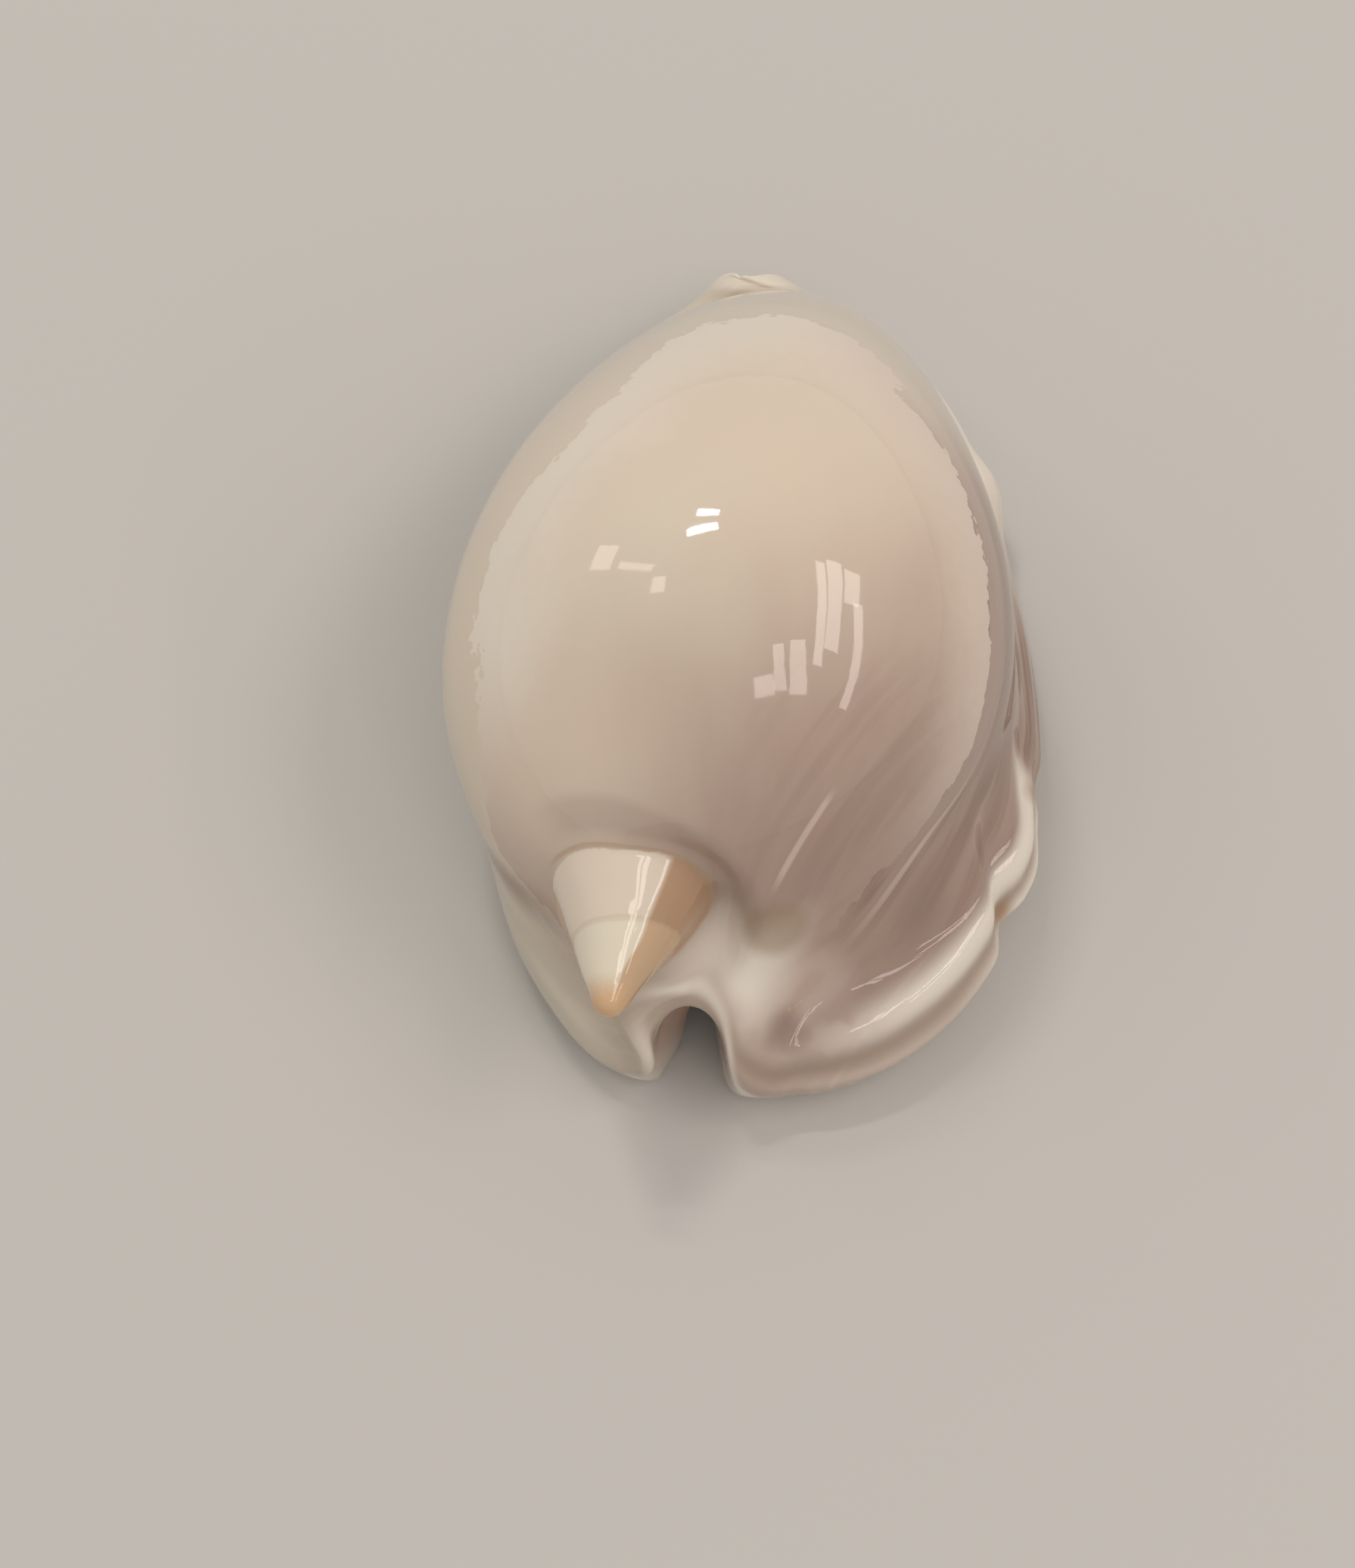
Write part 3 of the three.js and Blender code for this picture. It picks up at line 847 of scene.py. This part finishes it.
class FinishSettings(bpy.types.PropertyGroup):
    cream: hex_colour("Cream", "Back, top and front", "#decdb9")
    greenish: hex_colour("Greenish", "Cool clouds of the back", "#dacfbb")
    warm: hex_colour("Warm", "Crown of the back", "#dacab6")
    # partly painted shade where it darkens the rear of the back
    mauve: hex_colour("Mauve", "Rear of the back", "#aa9082")
    # also the colour of painted shade in the crease beside the plate and in the band above the spire's foot
    trough: hex_colour("Trough", "Hollow inside the rolled margin", "#8f776b")
    plate: hex_colour("Plate", "Inner-lip side of the margin", "#cbc1af")
    olive: hex_colour("Olive", "Soft patch beside the canal", "#9a7f62")
    white: hex_colour("White", "Callus, base and lips", "#e8dfd1")
    # pale streaks, and the painted reflection inside the ragged edge on the back
    pale_and_reflection: hex_colour("Glow", "Pale streaks and the enamel's ragged end", "#dfcdbf")
    # painted reflection: the colours beyond the ragged edge on the flanks
    past_reflection_left: hex_colour("Past the painted reflection, left", "Flank, inner-lip side", "#d6c9b4")
    past_reflection_right: hex_colour("Past the painted reflection, right", "Flank, outer-lip side", "#86685a")
    # painted shade: the colour laid in the rolled margin's valley
    valley: hex_colour("Valley", "Outer part of the rolled margin", "#a08a78")
    canal: hex_colour("Canal", "Wall of the rear canal", "#947263")
    seam: hex_colour("Seam", "Line round the foot of the spire", "#b09470")
    stain: hex_colour("Stain", "Notches of the margin", "#96683c")
    # partly painted reflection: the spire's cream side
    spire_light: hex_colour("Spire, light", "Light side, first winding", "#dfd1bf")
    spire_pale: hex_colour("Spire, pale", "Light side, second winding", "#e1d8c3")
    spire_tan: hex_colour("Spire, tan", "Tan side, first winding", "#b49172")
    spire_sand: hex_colour("Spire, sand", "Tan side, second winding", "#c7a886")
    tip: hex_colour("Tip", "Tip of the spire", "#cfab84")
    lining: hex_colour("Lining", "Inside of the wall", "#b99c90")


class StageSettings(bpy.types.PropertyGroup):
    floor: hex_colour("Floor", "Colour of the floor", "#c2bfba")
    azimuth: FloatProperty(name="Azimuth", description="Camera's turn, in degrees", default=6.0)
    elevation: FloatProperty(name="Elevation", description="Camera's height, in degrees", default=65.0)
    roll: FloatProperty(name="Roll", description="Camera's roll, in degrees", default=-0.219)
    distance: FloatProperty(name="Distance", description="Camera to its target", default=0.280, unit="LENGTH")
    lens: FloatProperty(name="Lens", description="Focal length, in millimetres", default=95.7)
    target: FloatVectorProperty(name="Target", description="Where the camera looks, in millimetres",
                                default=(-2.293, -7.081, 8.0))


# ---- the stage ----

FLOOR_HALF = 3.0
LIT_POINT = (0, 0, 0.015)
WORLD = dict(colour="#f1eeeb", strength=0.66)
# name, azimuth from +X, elevation and roll in degrees, distance, (width, height), power in watts, colour
LIGHTS = (
    ("lamp_1", 119, 57, -35, 0.81, (0.105, 0.032), 0.50, "#fffaf2"),
    ("lamp_2", 128, 62, -28, 0.81, (0.150, 0.040), 0.80, "#fffaf2"),
    ("blind_1", -7, 61, 11, 0.77, (0.51, 0.050), 0.32, "#fff1ea"),
    ("blind_2", 2, 56, 2, 0.78, (0.44, 0.085), 0.44, "#fff1ea"),
    ("blind_3", 15, 48, -10, 0.81, (0.17, 0.095), 0.19, "#fff1ea"),
    ("blind_4", -18, 42, 20, 0.77, (0.52, 0.055), 0.34, "#fff1ea"),
    ("pane_1", -49, 57, 58, 0.80, (0.26, 0.085), 0.24, "#fff1ea"),
    ("pane_2", -61, 60, 74, 0.81, (0.23, 0.060), 0.15, "#fff1ea"),
    ("pane_3", -73, 55, 0, 0.81, (0.095, 0.10), 0.11, "#fff1ea"),
    ("door_1", 160, 37, 0, 0.81, (0.11, 0.11), 0.11, "#ffe9e0"),
    ("door_2", 164, 50, 84, 0.81, (0.18, 0.035), 0.06, "#ffe9e0"),
    ("door_3", 177, 60, 0, 0.81, (0.08, 0.06), 0.05, "#ffe9e0"),
)


# ---- operators ----

def shape_offset():
    """What moves the formulas' millimetres to the frame: the middle of the shell in plan goes to the
    middle of the CAD box, and the base to its bottom."""
    low, high = (np.array(v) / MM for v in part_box(NODE))
    middle = (low + high) / 2
    return np.array((middle[0] - PLAN_MIDDLE[0], middle[1] - PLAN_MIDDLE[1], low[2]))


def aim(obj, position, target, roll=0.0):
    """Puts a camera or light at a position, looking at a target."""
    looking = (Vector(target) - Vector(position)).to_track_quat("-Z", "Y").to_matrix().to_4x4()
    turned = looking @ Matrix.Rotation(np.radians(roll), 4, "Z")
    obj.matrix_world = Matrix.Translation(position) @ turned


class COWRIE_OT_shell(bpy.types.Operator):
    """Make the shell and its finish"""

    bl_idname = "cowrie.shell"
    bl_label = "Make the shell"

    def execute(self, context):
        scene = context.scene
        points, ring, angle, on_spire = shell_surface(scene.cowrie_shell.columns)
        points = details(points, ring, angle, on_spire)
        fields = masks(points, ring, angle, on_spire)
        offset = shape_offset()
        mesh = grid_mesh("shell_skin", (points + offset) * MM, fields)
        piece = link("shell_skin", mesh)
        piece.data.materials.append(shell_material(scene.cowrie_finish, tuple(-offset)))
        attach(piece, "root")
        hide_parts(NODE)
        return {"FINISHED"}


class COWRIE_OT_stage(bpy.types.Operator):
    """Make the floor, the lights and the camera"""

    bl_idname = "cowrie.stage"
    bl_label = "Make the stage"

    def execute(self, context):
        scene = context.scene
        settings = scene.cowrie_stage
        half = FLOOR_HALF
        mesh = bpy.data.meshes.new("floor")
        corners = [(-half, -half, 0), (half, -half, 0), (half, half, 0), (-half, half, 0)]
        mesh.from_pydata(corners, [], [(0, 1, 2, 3)])
        floor = link("floor", mesh)
        mesh.materials.append(floor_material(settings.floor))

        middle = Vector(LIT_POINT)
        for name, azimuth, elevation, roll, away, size, power, colour in LIGHTS:
            data = bpy.data.lights.new(name, "AREA")
            data.shape = "RECTANGLE"
            data.size, data.size_y = size
            data.energy = power
            data.color = linear(colour)[:3]
            light = bpy.data.objects.new(name, data)
            scene.collection.objects.link(light)
            a, e = np.radians(azimuth), np.radians(elevation)
            out = Vector((np.cos(a) * np.cos(e), np.sin(a) * np.cos(e), np.sin(e)))
            aim(light, middle + out * away, middle, roll)

        world = bpy.data.worlds.new("studio")
        world.use_nodes = True
        background = world.node_tree.nodes["Background"]
        background.inputs["Color"].default_value = linear(WORLD["colour"])
        background.inputs["Strength"].default_value = WORLD["strength"]
        scene.world = world
        scene.view_settings.view_transform = "Standard"

        camera = bpy.data.objects.new("camera", bpy.data.cameras.new("camera"))
        scene.collection.objects.link(camera)
        camera.data.lens = settings.lens
        camera.data.clip_start, camera.data.clip_end = 0.01, 10
        target = Vector((np.array(settings.target) + shape_offset()) * MM)
        a, e = np.radians(settings.azimuth), np.radians(settings.elevation)
        back_off = Vector((np.sin(a) * np.cos(e), -np.cos(a) * np.cos(e), np.sin(e)))
        aim(camera, target + back_off * settings.distance, target, settings.roll)
        scene.camera = camera
        return {"FINISHED"}


class COWRIE_PT_panel(bpy.types.Panel):
    """The shell's sidebar panel"""

    bl_idname = "COWRIE_PT_panel"
    bl_label = "Cowrie shell"
    bl_space_type = "VIEW_3D"
    bl_region_type = "UI"
    bl_category = "Cowrie"

    def draw(self, context):
        scene = context.scene
        for group in (scene.cowrie_shell, scene.cowrie_finish, scene.cowrie_stage):
            box = self.layout.box()
            for key in group.bl_rna.properties.keys():
                if key not in ("rna_type", "name"):
                    box.prop(group, key)
        for operator in OPERATORS:
            self.layout.operator(operator.bl_idname)


OPERATORS = (COWRIE_OT_stage, COWRIE_OT_shell)
GROUPS = {"cowrie_shell": ShellSettings, "cowrie_finish": FinishSettings, "cowrie_stage": StageSettings}


def register():
    for cls in (*GROUPS.values(), *OPERATORS, COWRIE_PT_panel):
        bpy.utils.register_class(cls)
    for key, cls in GROUPS.items():
        setattr(bpy.types.Scene, key, PointerProperty(type=cls))


def unregister():
    for key in GROUPS:
        delattr(bpy.types.Scene, key)
    for cls in (COWRIE_PT_panel, *reversed(OPERATORS), *GROUPS.values()):
        bpy.utils.unregister_class(cls)


def main():
    register()
    bpy.ops.cowrie.stage()
    bpy.ops.cowrie.shell()


if __name__ == "__main__":
    main()
